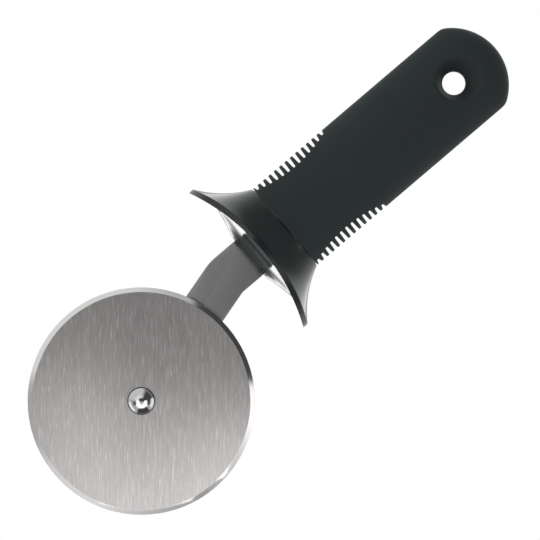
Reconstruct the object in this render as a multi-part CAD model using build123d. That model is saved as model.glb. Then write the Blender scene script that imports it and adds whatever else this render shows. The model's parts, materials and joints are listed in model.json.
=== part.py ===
from build123d import *
import math
import os

# A hand-held pizza cutter. A bevelled steel wheel turns on a rivet at the end of one flat
# arm. The arm's tang is pinned in a hard core, which a soft grip with finned sides is
# moulded on. A glossy guard with an arched, flared rim sits between the grip and the arm.
#
# Millimetres. The origin is the centre of the hang hole. +Z runs along the handle to its
# hanging end, so the wheel is below. +Y points away from the wheel's side of the arm.

# Cutting wheel
wheel_diameter = 101.6
wheel_thickness = 1.2
bevel_width = 2.1
cutting_edge = 0.24

# Rivet and its stack, from the front to the back
shank_diameter = 6.0
head_diameter = 11.6
head_height = 2.5
head_rim = 0.5
tail_diameter = 9.0
tail_height = 1.7
bush_wall = 1.5
front_washer_diameter = 12.4
front_washer_thickness = 0.5
spacer_diameter = 17.0
spacer_thickness = 0.9
rear_washer_diameter = 12.0
rear_washer_thickness = 0.8

# Arm, from the guard's neck to the axle
arm_width = 19.8
arm_thickness = 3.0
arm_straight = 10.9
arm_bend_radius = 15.9
arm_bend_angle = 15.2
axle_reach = 64.8
tang_width = 14.0
tang_length = 56.0
tang_corner = 2.0

# Cross pins through the core and the tang
pin_diameter = 4.0
pin_count = 2
pin_spacing = 18.0
pin_setback = 8.0

# Grip
grip_length = 123.25
hole_inset = 24.45
grip_width = 44.6
grip_depth_seam = 27.6
grip_depth_waist = 25.0
grip_depth_belly = 27.4
grip_depth_end = 21.6
grip_end_height = 16.7
grip_wall = 4.5
hang_hole_diameter = 10.4
hang_hole_land = 7.0
hang_funnel_diameter = 21.0
hang_funnel_offset = 3.0

# Fins on the grip's two sides
slot_count = 13
slot_pitch = 3.14
slot_mouth = 1.75
slot_floor = 1.2
waist_width = 35.2
waist_radius = 62.0
end_fin = 0.95
fin_chamfer = 0.35

# Hard core
core_corner = 4.0
spigot_length = 8.0
eye_thickness = 5.0
eye_lining = 3.0
eye_neck = 10.0

# Guard
guard_width = 79.0
guard_depth = 50.0
guard_drop = 14.6
rim_thickness = 1.3
arch_radius = 96.0
rim_tip_thickness = 2.45
flare_turn = 30.1
seam_groove = 0.5
seam_inset = 1.0
neck_width = 20.0
neck_depth = 13.0
neck_length = 7.3
neck_taper = 0.5
neck_corner = 1.4
neck_edge = 0.6
bell_width = 56.0

# Clearances
running_clearance = 0.05
fixed_clearance = 0.05
socket_clearance = 0.1
axial_play = 0.1
bond_gap = 0.02
cut_overrun = 5.0

# Shares of the sizes that they follow, chosen by hand
guard_outline_power_share = 1.76
bell_width_shares = (0.425, 0.51, 0.61, 0.74, 0.88, 0.96, 0.985, 0.995, 1.0)
bell_depth_shares = (0.26, 0.285, 0.33, 0.385, 0.44, 0.515, 0.65, 0.84, 0.985)
bell_height_shares = (0.08, 0.18, 0.28, 0.40, 0.50, 0.60, 0.72, 0.85, 1.0)
belly_share = 0.46
waist_share = 0.835
upper_share = 0.24

# Places worked out from the sizes above
handle_end = hole_inset
seam = handle_end - grip_length
rim_mid = seam - guard_drop
neck_end = rim_mid - neck_length
bend_start = neck_end - arm_straight
bend_turn = math.radians(arm_bend_angle)
bend_end_x = arm_bend_radius * (1 - math.cos(bend_turn))
bend_end_z = bend_start - arm_bend_radius * math.sin(bend_turn)
axle_x = bend_end_x + axle_reach * math.sin(bend_turn)
axle_z = bend_end_z - axle_reach * math.cos(bend_turn)

arm_front = -arm_thickness / 2
arm_back = arm_thickness / 2
spacer_front = arm_front - spacer_thickness
wheel_back = spacer_front - axial_play
wheel_front = wheel_back - wheel_thickness
washer_back = wheel_front - axial_play
head_base = washer_back - front_washer_thickness
tail_base = arm_back + rear_washer_thickness

shank_radius = shank_diameter / 2
bush_bore = shank_radius + running_clearance
bush_radius = bush_bore + bush_wall

grip_half_width = grip_width / 2
collar_top = seam - seam_groove
arch_sink = arch_radius - math.sqrt(arch_radius**2 - (guard_width / 2) ** 2)
tip_drop = collar_top - rim_mid + arch_sink - rim_tip_thickness
dome_base = handle_end - grip_end_height
waist_z = seam + slot_pitch * slot_count / 2
core_half_width = waist_width / 2 - grip_wall
core_half_depth = grip_depth_waist / 2 - grip_wall
core_bottom = seam - spigot_length
core_shoulder = -(hang_hole_diameter / 2 + eye_lining + eye_neck)
tang_top = neck_end + tang_length
pin_top = tang_top - pin_setback

cylinder_about_y = {"align": (Align.CENTER, Align.CENTER, Align.MIN)}


def disc(radius, back, front, x=0, z=0):
    """A round plate about an axis along Y, from its front face to its back face."""
    body = Cylinder(radius, back - front, **cylinder_about_y)
    return Pos(x, front, z) * Rot(-90, 0, 0) * body


def slab(outline, back, front):
    """A flat plate: an outline drawn in X and Z, as thick as from front to back along Y."""
    return Pos(0, back, 0) * extrude(outline, back - front)


def level(z):
    """The horizontal plane at a height."""
    return Plane.XY.offset(z)


def about_axle(profile):
    """Turns a profile, drawn with X outwards and Y along the axle, about the axle."""
    turned = revolve(profile, Axis.Y)
    return Pos(axle_x, 0, axle_z) * turned


def wheel_blade():
    """A flat disc ground to an edge by a bevel on both faces, with the bush's hole."""
    middle = (wheel_front + wheel_back) / 2
    rim = wheel_diameter / 2
    hole = bush_radius + bond_gap
    profile = make_face(
        Polyline(
            (hole, wheel_front),
            (rim - bevel_width, wheel_front),
            (rim, middle - cutting_edge / 2),
            (rim, middle + cutting_edge / 2),
            (rim - bevel_width, wheel_back),
            (hole, wheel_back),
            close=True,
        )
    )
    return about_axle(profile)


def ring(outer, inner, back, front):
    """A washer or bush on the axle."""
    body = disc(outer, back, front, axle_x, axle_z)
    bore = disc(inner, back + cut_overrun, front - cut_overrun, axle_x, axle_z)
    return body - bore


def cap_middle(half, height):
    """The point halfway along a round cap's profile: how far out, and how far up."""
    radius = (half**2 + height**2) / (2 * height)
    angle = math.asin(half / radius) / 2
    return radius * math.sin(angle), height - radius * (1 - math.cos(angle))


def axle_rivet():
    """One rivet: a domed head, the shank that is the axle, and the tail closed over."""
    head = head_diameter / 2
    tail = tail_diameter / 2
    crown_base = head_base - head_rim
    crown_out, crown_up = cap_middle(head, head_height - head_rim)
    tail_out, tail_up = cap_middle(tail, tail_height)
    profile = (
        Line((0, head_base - head_height), (0, tail_base + tail_height))
        + ThreePointArc(
            (0, tail_base + tail_height),
            (tail_out, tail_base + tail_up),
            (tail, tail_base),
        )
        + Polyline(
            (tail, tail_base),
            (shank_radius, tail_base),
            (shank_radius, head_base),
            (head, head_base),
            (head, crown_base),
        )
        + ThreePointArc(
            (head, crown_base),
            (crown_out, crown_base - crown_up),
            (0, head_base - head_height),
        )
    )
    return about_axle(make_face(profile))


def arm():
    """One flat plate: the tang, the shoulders, the bend in its own plane and the round end."""
    half = arm_width / 2
    tang = tang_width / 2
    turn_centre = (arm_bend_radius, bend_start)
    across = (math.cos(bend_turn), math.sin(bend_turn))
    outer = arm_bend_radius + half
    inner = arm_bend_radius - half

    def on_bend(radius, angle):
        return (
            turn_centre[0] - radius * math.cos(angle),
            turn_centre[1] - radius * math.sin(angle),
        )

    left_of_axle = (axle_x - half * across[0], axle_z - half * across[1])
    right_of_axle = (axle_x + half * across[0], axle_z + half * across[1])
    round_end = (axle_x + half * across[1], axle_z - half * across[0])
    outline = (
        Polyline(
            on_bend(inner, 0),
            (half, neck_end),
            (tang, neck_end),
            (tang, tang_top - tang_corner),
            (tang - tang_corner, tang_top),
            (tang_corner - tang, tang_top),
            (-tang, tang_top - tang_corner),
            (-tang, neck_end),
            (-half, neck_end),
            on_bend(outer, 0),
        )
        + ThreePointArc(
            on_bend(outer, 0), on_bend(outer, bend_turn / 2), on_bend(outer, bend_turn)
        )
        + Line(on_bend(outer, bend_turn), left_of_axle)
        + ThreePointArc(left_of_axle, round_end, right_of_axle)
        + Line(right_of_axle, on_bend(inner, bend_turn))
        + ThreePointArc(
            on_bend(inner, bend_turn), on_bend(inner, bend_turn / 2), on_bend(inner, 0)
        )
    )
    plate = slab(Plane.XZ * make_face(outline), arm_back, arm_front)
    reach = cut_overrun
    plate -= disc(
        shank_radius + fixed_clearance,
        arm_back + reach,
        arm_front - reach,
        axle_x,
        axle_z,
    )
    return plate - pin_holes(arm_back + reach, arm_front - reach)


def pin_places():
    """The heights of the cross pins, from the tang's top down."""
    return [pin_top - index * pin_spacing for index in range(pin_count)]


def pin_holes(back, front):
    """The pins' holes, through whatever lies between front and back."""
    radius = pin_diameter / 2 + fixed_clearance
    return [disc(radius, back, front, 0, z) for z in pin_places()]


def tang_pins():
    """The cross pins, flush with the core's two faces."""
    radius = pin_diameter / 2
    pins = [disc(radius, core_half_depth, -core_half_depth, 0, z) for z in pin_places()]
    return Compound(children=pins)


def core_block(grow):
    """The core's block, round-cornered, grown all round by a clearance."""
    section = RectangleRounded(
        2 * (core_half_width + grow), 2 * (core_half_depth + grow), core_corner + grow
    )
    height = core_shoulder - core_bottom + 2 * grow
    return Pos(0, 0, core_bottom - grow) * extrude(section, height)


def core_eye(grow):
    """The flat eye that runs up from the core's block and round the hang hole."""
    half = eye_thickness / 2 + grow
    outer = core_half_width + grow
    inner = hang_hole_diameter / 2 + eye_lining - grow
    foot = core_shoulder - core_corner
    strap = Pos(0, 0, foot) * Box(
        2 * outer, 2 * half, -foot, align=(Align.CENTER, Align.CENTER, Align.MIN)
    )
    eye = strap + disc(outer, half, -half)
    return eye - disc(inner, half + cut_overrun, -half - cut_overrun)


def handle_core():
    """The hard core: spigot, block and eye, with the tang's slot and the pins' holes."""
    core = core_block(0) + core_eye(0)
    core -= tang_slot(core_bottom - cut_overrun)
    return core - pin_holes(core_half_depth + cut_overrun, -core_half_depth - cut_overrun)


def tang_slot(bottom):
    """The slot that the tang fills, from a height up to just past the tang's top."""
    width = tang_width + 2 * fixed_clearance
    thickness = arm_thickness + 2 * fixed_clearance
    height = tang_top + socket_clearance - bottom
    return Pos(0, 0, bottom) * Box(
        width, thickness, height, align=(Align.CENTER, Align.CENTER, Align.MIN)
    )


def grip_body():
    """The grip's oval outer form: a loft along the handle, closed by a half ellipsoid."""
    span = dome_base - seam
    sections = [
        (seam, grip_depth_seam),
        (dome_base - waist_share * span, grip_depth_waist),
        (dome_base - belly_share * span, grip_depth_belly),
        (dome_base - upper_share * span, (grip_depth_belly + grip_depth_end) / 2),
        (dome_base, grip_depth_end),
    ]
    ovals = [level(z) * Ellipse(grip_half_width, depth / 2) for z, depth in sections]
    body = loft(ovals)
    ball = Sphere(1)
    dome = scale(ball, by=(grip_half_width, grip_depth_end / 2, grip_end_height))
    above = Pos(0, 0, dome_base) * Box(
        2 * grip_width,
        2 * grip_width,
        2 * grip_end_height,
        align=(Align.CENTER, Align.CENTER, Align.MIN),
    )
    return body + (Pos(0, 0, dome_base) * dome & above)


def waist_half(z):
    """The half width of the slots' floors at a height: an arc that is narrowest midway."""
    drop = z - waist_z
    return waist_width / 2 + waist_radius - math.sqrt(waist_radius**2 - drop**2)


def fin_slots():
    """The slots that leave the fins: straight through from front to back, round-floored,
    and chamfered where they open so that the fins' tips are not sharp."""
    reach = grip_depth_seam / 2 + cut_overrun
    mouth = grip_half_width - fin_chamfer
    outside = grip_half_width + cut_overrun
    half_floor = slot_floor / 2
    half_mouth = slot_mouth / 2
    half_outside = half_mouth + outside - mouth
    tools = []
    for index in range(slot_count):
        z = seam + end_fin + half_mouth + index * slot_pitch
        floor = min(waist_half(z) + half_floor, mouth - fin_chamfer)
        wedge = make_face(
            Polyline(
                (floor, z - half_floor),
                (mouth, z - half_mouth),
                (outside, z - half_outside),
                (outside, z + half_outside),
                (mouth, z + half_mouth),
                (floor, z + half_floor),
                close=True,
            )
        )
        outline = wedge + Pos(floor, z) * Circle(half_floor)
        tool = slab(Plane.XZ * outline, reach, -reach)
        tools += [tool, mirror(tool, Plane.YZ)]
    return tools


def hang_hole():
    """The hang hole: a straight land between two skewed funnels, one on each face."""
    radius = hang_hole_diameter / 2
    land = hang_hole_land / 2
    rise = grip_depth_end / 2 - land
    stretch = (rise + cut_overrun) / rise
    wide = radius + (hang_funnel_diameter / 2 - radius) * stretch
    shift = hang_funnel_offset * stretch
    small = Plane.XZ.offset(land) * Circle(radius)
    large = Plane.XZ.offset(land + rise + cut_overrun) * Pos(0, shift) * Circle(wide)
    funnel = loft([small, large], ruled=True)
    bore = disc(radius, land + socket_clearance, -land - socket_clearance)
    return [bore, funnel, mirror(funnel, Plane.XZ)]


def grip():
    """The soft grip: the oval body, less the slots, the hang hole and the core's space."""
    body = grip_body() - fin_slots()
    body -= hang_hole()
    return body - [core_block(bond_gap), core_eye(bond_gap)]


def flare_half(drop):
    """The guard's half width at a depth below its collar: an arc that flares outwards."""
    spread = guard_width / 2 - grip_half_width
    half_turn = math.radians(flare_turn / 2)
    flare_radius = math.hypot(spread, tip_drop) / (2 * math.sin(half_turn))
    tilt = math.atan2(spread, tip_drop) - half_turn
    centre_x = grip_half_width + flare_radius * math.cos(tilt)
    centre_drop = -flare_radius * math.sin(tilt)
    return centre_x - math.sqrt(flare_radius**2 - (drop - centre_drop) ** 2)


def arch_above():
    """Everything above the rim's arched lower edge, which bends down to both sides."""
    half = guard_width / 2 + cut_overrun
    low = rim_mid - arch_radius + math.sqrt(arch_radius**2 - half**2)
    top = seam + cut_overrun
    outline = (
        Polyline((half, low), (half, top), (-half, top), (-half, low))
        + ThreePointArc((-half, low), (0, rim_mid), (half, low))
    )
    reach = guard_depth
    return slab(Plane.XZ * make_face(outline), reach, -reach)


def guard_plan():
    """The guard's outline from above: a slightly pointed oval, as a smooth closed curve."""
    power = 2 / guard_outline_power_share
    count = 32
    points = []
    for index in range(count):
        angle = 2 * math.pi * index / count
        across, along = math.cos(angle), math.sin(angle)
        points.append(
            (
                math.copysign(abs(across) ** power, across) * guard_width / 2,
                math.copysign(abs(along) ** power, along) * guard_depth / 2,
            )
        )
    return make_face(Spline(*points, periodic=True))


def guard():
    """The guard: collar, arched trumpet, underside bell and neck, with its two sockets."""
    collar_half = grip_half_width
    collar_depth = grip_depth_seam / 2
    rim_top = collar_top - (rim_mid + rim_thickness)
    widening = (guard_depth / 2 - collar_depth) / (flare_half(rim_top) - collar_half)
    lowest = collar_top - rim_mid + arch_sink + rim_thickness
    steps = 6
    ovals = []
    for index in range(steps + 1):
        drop = lowest * index / steps
        half = flare_half(drop)
        depth = collar_depth + widening * (half - collar_half)
        ovals.append(level(collar_top - drop) * Ellipse(half, depth))
    trumpet = loft(ovals)
    plan = Pos(0, 0, collar_top - lowest) * extrude(guard_plan(), lowest)
    shell = trumpet & plan & arch_above()

    bell_drop = neck_length
    bell_ovals = [
        level(neck_end + height * bell_drop)
        * Ellipse(width * bell_width / 2, depth * guard_depth / 2)
        for width, depth, height in zip(
            bell_width_shares, bell_depth_shares, bell_height_shares
        )
    ]
    bell = loft(bell_ovals)

    neck_top = rim_mid
    neck = loft(
        [
            level(neck_end) * RectangleRounded(neck_width, neck_depth, neck_corner),
            level(neck_top)
            * RectangleRounded(
                neck_width + 2 * neck_taper, neck_depth + 2 * neck_taper, neck_corner
            ),
        ]
    )
    neck = fillet(neck.edges().group_by(Axis.Z)[0], neck_edge)

    land = level(collar_top) * Ellipse(collar_half - seam_inset, collar_depth - seam_inset)
    body = shell + bell + neck + extrude(land, seam_groove)
    body -= core_block(socket_clearance)
    return body - tang_slot(neck_end - cut_overrun)


def parts():
    """Every piece by its name."""
    return {
        "wheel_blade": wheel_blade(),
        "wheel_bush": ring(bush_radius, bush_bore, wheel_back, wheel_front),
        "axle_rivet": axle_rivet(),
        "front_washer": ring(
            front_washer_diameter / 2,
            shank_radius + fixed_clearance,
            washer_back,
            head_base,
        ),
        "spacer_washer": ring(
            spacer_diameter / 2,
            shank_radius + fixed_clearance,
            arm_front,
            spacer_front,
        ),
        "rear_washer": ring(
            rear_washer_diameter / 2,
            shank_radius + fixed_clearance,
            tail_base,
            arm_back,
        ),
        "arm": arm(),
        "tang_pins": tang_pins(),
        "handle_core": handle_core(),
        "guard": guard(),
        "grip": grip(),
    }


os.makedirs("parts", exist_ok=True)
for name, shape in parts().items():
    export_step(shape, os.path.join("parts", name + ".step"))
    print(name, "volume", round(shape.volume, 1))
print("axle at", round(axle_x, 3), round(axle_z, 3))
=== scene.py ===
import json
import math

import bmesh
import bpy
import numpy as np
from mathutils import Matrix, Vector


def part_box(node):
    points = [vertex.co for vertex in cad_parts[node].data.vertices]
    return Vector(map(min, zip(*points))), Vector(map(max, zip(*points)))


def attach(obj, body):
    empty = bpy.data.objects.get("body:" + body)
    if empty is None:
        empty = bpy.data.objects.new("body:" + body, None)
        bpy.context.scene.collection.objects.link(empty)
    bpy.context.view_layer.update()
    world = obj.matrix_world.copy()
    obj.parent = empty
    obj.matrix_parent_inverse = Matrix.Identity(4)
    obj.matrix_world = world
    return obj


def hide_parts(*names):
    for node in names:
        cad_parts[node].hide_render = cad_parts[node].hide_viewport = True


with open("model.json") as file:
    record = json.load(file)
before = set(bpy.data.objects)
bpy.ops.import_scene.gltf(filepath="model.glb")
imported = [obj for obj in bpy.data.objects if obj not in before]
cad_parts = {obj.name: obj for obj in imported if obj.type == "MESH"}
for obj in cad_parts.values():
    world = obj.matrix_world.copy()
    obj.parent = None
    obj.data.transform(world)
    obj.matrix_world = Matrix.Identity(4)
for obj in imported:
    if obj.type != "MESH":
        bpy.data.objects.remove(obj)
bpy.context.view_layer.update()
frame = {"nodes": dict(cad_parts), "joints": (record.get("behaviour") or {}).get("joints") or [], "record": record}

# A household pizza cutter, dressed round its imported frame: a brushed steel wheel on a rivet,
# a satin arm, a glossy arched guard and a soft grip with finned sides and a hang hole.
# Metres. +Z runs up the handle, +X to the side that the arm bends to, and the wheel's face
# looks along -Y.

bl_info = {
    "name": "Pizza cutter looks",
    "version": (1, 0, 0),
    "blender": (4, 5, 0),
    "location": "3D view, sidebar, Cutter tab",
    "description": "Dresses a packed pizza cutter with its steel, gloss and soft grip",
    "category": "Object",
}

MM = 0.001
GRIP_LOW, GRIP_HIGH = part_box("grip")
BLADE_LOW, BLADE_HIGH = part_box("wheel_blade")
BUSH_LOW, BUSH_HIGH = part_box("wheel_bush")
RIVET_LOW, RIVET_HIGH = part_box("axle_rivet")
FRONT_LOW, FRONT_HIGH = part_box("front_washer")
SPACER_LOW, SPACER_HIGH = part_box("spacer_washer")
REAR_LOW, REAR_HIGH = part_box("rear_washer")
ARM_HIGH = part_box("arm")[1]
CORE_LOW, CORE_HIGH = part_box("handle_core")
AXLE = np.array(frame["joints"][0]["pos_m"])
HOLE_RADIUS = frame["record"]["mounts"][0]["dims"]["r_mm"] * MM
SEAM = GRIP_LOW.z


def share(name, description, default, low=0.0, high=1.0, **more):
    """A plain number that a user can change, or with more settings one with a unit."""
    return bpy.props.FloatProperty(
        name=name, description=description, default=default, min=low, max=high, **more
    )


def length(name, description, default, low=0.0, high=1.0):
    """A size in metres that a user can change."""
    distance = {"precision": 5, "unit": "LENGTH", "subtype": "DISTANCE"}
    return share(name, description, default, low, high, **distance)


def colour(name, description, default):
    """A linear colour that a user can change."""
    return bpy.props.FloatVectorProperty(
        name=name,
        description=description,
        default=default,
        size=3,
        min=0.0,
        max=1.0,
        subtype="COLOR",
    )


class GripSizes(bpy.types.PropertyGroup):
    """The soft grip: its depth front to back, its hang hole and its fins."""

    depth_seam: length("Depth at seam", "Front to back where the guard begins", 27.6 * MM)
    depth_waist: length("Depth at waist", "Front to back between the fins", 25.0 * MM)
    depth_belly: length("Depth at belly", "Front to back at the fullest place", 27.4 * MM)
    depth_end: length("Depth at end", "Front to back beside the hang hole", 21.6 * MM)
    dome_height: length("Dome height", "How far up the rounded end reaches", 16.7 * MM)
    end_radius: length("End radius", "Arc of the end's outline", 25.6 * MM)
    end_corner: length("End corner", "Softness where the arc meets the sides", 1.2 * MM)
    waist_share: share("Waist place", "The waist's place down from the dome", 0.835)
    belly_share: share("Belly place", "The belly's place down from the dome", 0.46)
    upper_share: share("Upper place", "Halfway between belly and end", 0.24)
    land: length("Hole land", "Straight length inside the hang hole", 7.0 * MM)
    funnel: length("Funnel width", "Width of the funnel at the surface", 21.0 * MM)
    funnel_offset: length("Funnel offset", "How far the funnel leans to the end", 3.0 * MM)
    lip: length("Lip", "Rounding where the funnel meets the surface", 1.6 * MM)
    slot_count: bpy.props.IntProperty(
        name="Slots", description="Slots on each side", default=13, min=1, max=40
    )
    slot_pitch: length("Slot pitch", "From one slot to the next", 3.14 * MM)
    slot_mouth: length("Slot mouth", "Width of a slot where it opens", 1.62 * MM)
    slot_floor: length("Slot floor", "Width of a slot at its round floor", 1.2 * MM)
    fin_round: length("Fin rounding", "Rounding of a fin's tip", 0.5 * MM)
    end_fin: length("End fin", "The last fin, at the seam", 0.79 * MM)
    waist_width: length("Waist width", "Across the slot floors midway", 35.2 * MM)
    waist_radius: length("Waist radius", "Arc that the slot floors follow", 62.0 * MM)
    rubber: colour("Rubber", "Base colour of the soft grip", (0.0488, 0.0602, 0.0625))


class GuardSizes(bpy.types.PropertyGroup):
    """The glossy guard: its flare, its arched rim, its underside bell and its neck."""

    width: length("Width", "Across the rim's two tips", 79.0 * MM)
    depth: length("Depth", "The rim from front to back", 50.0 * MM)
    collar_depth: length("Collar depth", "Front to back at the seam", 27.6 * MM)
    drop: length("Drop", "From the seam to the rim's lower edge, midway", 14.6 * MM)
    rim: length("Rim", "Thickness of the rim midway", 1.3 * MM)
    rim_round: length("Rim rounding", "Rounding of the rim's upper edge", 0.30 * MM)
    rim_break: length("Rim break", "Rounding of the rim's lower edge", 0.12 * MM)
    tip: length("Tip", "Thickness of the rim at its two tips", 2.45 * MM)
    arch_radius: length("Arch radius", "Radius that the rim is bent to", 96.0 * MM)
    flare_turn: share("Flare turn", "Degrees that the flare's arc turns", 30.1, 1.0, 90.0)
    outline_power: share("Outline power", "Two makes the plan an oval", 1.76, 1.0, 3.0)
    groove: length("Groove", "Height of the groove at the seam", 0.5 * MM)
    inset: length("Inset", "Depth of the groove at the seam", 1.0 * MM)
    neck_width: length("Neck width", "Width of the neck's end", 20.0 * MM)
    neck_depth: length("Neck depth", "Depth of the neck's end", 13.0 * MM)
    neck_corner: length("Neck corner", "Corner radius of the neck", 1.4 * MM)
    neck_edge: length("Neck edge", "Rounding round the neck's end", 0.6 * MM)
    neck_length: length("Neck length", "From the rim's middle to the neck's end", 7.3 * MM)
    neck_taper: length("Neck taper", "How much the neck widens upwards", 0.5 * MM)
    neck_join: length("Neck join", "Rounding where the neck leaves the bell", 0.2 * MM)
    bell_width: length("Bell width", "Width of the underside bell", 56.0 * MM)
    blend: length("Blend", "Softness where the bell meets the arch", 0.25 * MM)
    fit: length("Fit", "Room round the core in the guard's socket", 0.1 * MM)
    gloss: colour("Gloss", "Base colour of the guard", (0.0185, 0.0248, 0.0262))


class SteelSizes(bpy.types.PropertyGroup):
    """The wheel, its rivet and washers, and the arm."""

    bevel: length("Bevel", "Width of the ground bevel", 2.1 * MM)
    edge: length("Edge", "Thickness left at the cutting edge", 0.24 * MM)
    hub_clearance: length("Hub clearance", "Gap between blade and bush", 0.02 * MM)
    arris: length("Arris", "Tiny rounding of turned edges", 0.06 * MM)
    head_rim: length("Head rim", "Straight rim under the rivet's dome", 0.5 * MM)
    tail_width: length("Tail width", "Width of the rivet's closed tail", 9.0 * MM)
    shank_width: length("Shank width", "Width of the rivet's shank", 6.0 * MM)
    washer_bore: length("Washer bore", "Bore of the three washers", 6.1 * MM)
    arm_round: length("Arm rounding", "Rounding of the arm's edges", 0.3 * MM)
    face: colour("Face", "Colour of the brushed wheel", (0.578, 0.554, 0.550))
    ground: colour("Ground", "Colour of the ground bevel", (0.800, 0.795, 0.790))
    ground_roughness: share("Ground roughness", "Roughness of the ground bevel", 0.08)
    satin: colour("Satin", "Colour of the satin arm", (0.412, 0.412, 0.416))
    polish: colour("Polish", "Colour of the polished rivet", (0.820, 0.820, 0.820))


class StageSizes(bpy.types.PropertyGroup):
    """The camera, the white room and its lamps."""

    frame_width: length("Frame width", "Width of what the camera sees", 241.42 * MM)
    centre_x: length("Centre across", "Picture centre, across the handle", 10.25 * MM, -1.0)
    centre_z: length("Centre along", "Picture centre, along the handle", -116.6 * MM, -1.0)
    distance: length("Distance", "From the camera to the wheel", 3.0, 0.1, 20.0)
    tilt: bpy.props.FloatProperty(
        name="Tilt",
        description="How far the handle leans above the picture's horizontal",
        default=math.radians(40.42),
        subtype="ANGLE",
    )


GROUPS = (
    ("cutter_grip", GripSizes),
    ("cutter_guard", GuardSizes),
    ("cutter_steel", SteelSizes),
    ("cutter_stage", StageSizes),
)


# Curves and shared shape helpers

# A little past the corner, so that a ray's crossing is always inside the search
PAST_CORNER = 1.01


def smooth_through(knots, values, at):
    """A natural cubic spline through points: the second slopes come from one small set of
    linear equations, and each span is then the usual cubic between its two points."""
    knots, values = np.asarray(knots, float), np.asarray(values, float)
    gaps = np.diff(knots)
    count = len(knots)
    matrix, right = np.eye(count), np.zeros(count)
    inner = np.arange(1, count - 1)
    matrix[inner, inner - 1] = gaps[:-1]
    matrix[inner, inner] = 2 * (gaps[:-1] + gaps[1:])
    matrix[inner, inner + 1] = gaps[1:]
    slopes = np.diff(values) / gaps
    right[inner] = 6 * np.diff(slopes)
    bend = np.linalg.solve(matrix, right)
    span = np.clip(np.searchsorted(knots, at) - 1, 0, count - 2)
    gap, low, high = gaps[span], at - knots[span], knots[span + 1] - at
    cubic = (bend[span] * high**3 + bend[span + 1] * low**3) / (6 * gap)
    line = values[span] * high + values[span + 1] * low
    bow = bend[span] * high + bend[span + 1] * low
    return cubic + line / gap - bow * gap / 6


def settle(gap_of, low, high, rounds=46):
    """Halves an interval again and again, for every entry at once, until gap_of is nought:
    gap_of is below nought at low and above it at high."""
    low, high = np.array(low, float), np.array(high, float)
    for _ in range(rounds):
        middle = (low + high) / 2
        under = gap_of(middle) < 0
        low, high = np.where(under, middle, low), np.where(under, high, middle)
    return (low + high) / 2


def bezier(first, pull, last, steps):
    """A quadratic curve from first to last that leans to pull, without its two ends."""
    t = np.linspace(0, 1, steps + 2)[1:-1]
    shape = (-1,) + (1,) * np.ndim(first)
    t = t.reshape(shape)
    return (1 - t) ** 2 * first + 2 * t * (1 - t) * pull + t**2 * last


def oval_ring(half_x, half_y, angles, power=2.0):
    """A closed outline whose x and y over its half sizes, each to the power, add to one."""
    across, along = np.cos(angles), np.sin(angles)
    bend = 2 / power
    x = np.sign(across) * np.abs(across) ** bend * half_x
    y = np.sign(along) * np.abs(along) ** bend * half_y
    return x, y


def cornered_ring(half_x, half_y, corner, angles):
    """A rectangle with round corners, met by rays at the given angles: the ray leaves the
    inner rectangle's corner circles where its distance to that rectangle is the radius."""
    ray_x, ray_y = np.cos(angles), np.sin(angles)

    def outside(reach):
        """How far a ray's point is beyond the corner's circle."""
        far_x = np.maximum(np.abs(ray_x * reach) - (half_x - corner), 0)
        far_y = np.maximum(np.abs(ray_y * reach) - (half_y - corner), 0)
        return np.hypot(far_x, far_y) - corner

    most = PAST_CORNER * np.hypot(half_x, half_y)
    reach = settle(outside, np.zeros_like(angles), most + np.zeros_like(angles))
    return ray_x * reach, ray_y * reach


# Meshes


def grid_faces(rows, columns, close_rows=False, close_columns=False):
    """Four-sided faces of a grid whose points are numbered row by row."""
    row = np.arange(rows if close_rows else rows - 1)
    column = np.arange(columns if close_columns else columns - 1)
    row, column = np.meshgrid(row, column, indexing="ij")
    next_row, next_column = (row + 1) % rows, (column + 1) % columns
    corners = (
        row * columns + column,
        row * columns + next_column,
        next_row * columns + next_column,
        next_row * columns + column,
    )
    return np.stack(corners, -1).reshape(-1, 4)


class Builder:
    """Gathers grids of points and faces, and makes one closed mesh of them all."""

    def __init__(self):
        self.points, self.faces, self.count = [], [], 0

    def grid(self, points, close_rows=False, close_columns=False, flip=False):
        """Adds a grid of points, rows by columns by three. Where points fall together, the
        weld turns their faces into triangles."""
        rows, columns = points.shape[:2]
        faces = grid_faces(rows, columns, close_rows, close_columns) + self.count
        self.faces += [tuple(f) for f in (faces[:, ::-1] if flip else faces)]
        self.points.append(points.reshape(-1, 3))
        self.count += rows * columns

    def build(self, name, weld=1e-7):
        """The finished object: doubles welded, faces outwards."""
        mesh = bpy.data.meshes.new(name)
        points = np.concatenate(self.points)
        mesh.from_pydata(points.tolist(), [], [[int(i) for i in f] for f in self.faces])
        work = bmesh.new()
        work.from_mesh(mesh)
        bmesh.ops.remove_doubles(work, verts=work.verts, dist=weld)
        bmesh.ops.dissolve_degenerate(work, edges=work.edges, dist=weld)
        bmesh.ops.recalc_face_normals(work, faces=work.faces)
        work.to_mesh(mesh)
        work.free()
        return new_piece(name, mesh)


def new_piece(name, mesh):
    """Links a mesh as an object at the origin."""
    piece = bpy.data.objects.new(name, mesh)
    bpy.context.scene.collection.objects.link(piece)
    return piece


def shade(piece, degrees=None):
    """Smooth shading, with edges sharper than an angle kept crisp."""
    mesh = piece.data
    mesh.polygons.foreach_set("use_smooth", np.ones(len(mesh.polygons), bool))
    if degrees is not None:
        mesh.set_sharp_from_angle(angle=math.radians(degrees))
    mesh.update()
    return piece


def finish_piece(piece, body, material, stands_for):
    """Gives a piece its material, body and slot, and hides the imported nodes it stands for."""
    piece.data.materials.clear()
    piece.data.materials.append(material)
    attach(piece, body)
    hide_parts(*stands_for)


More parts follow.
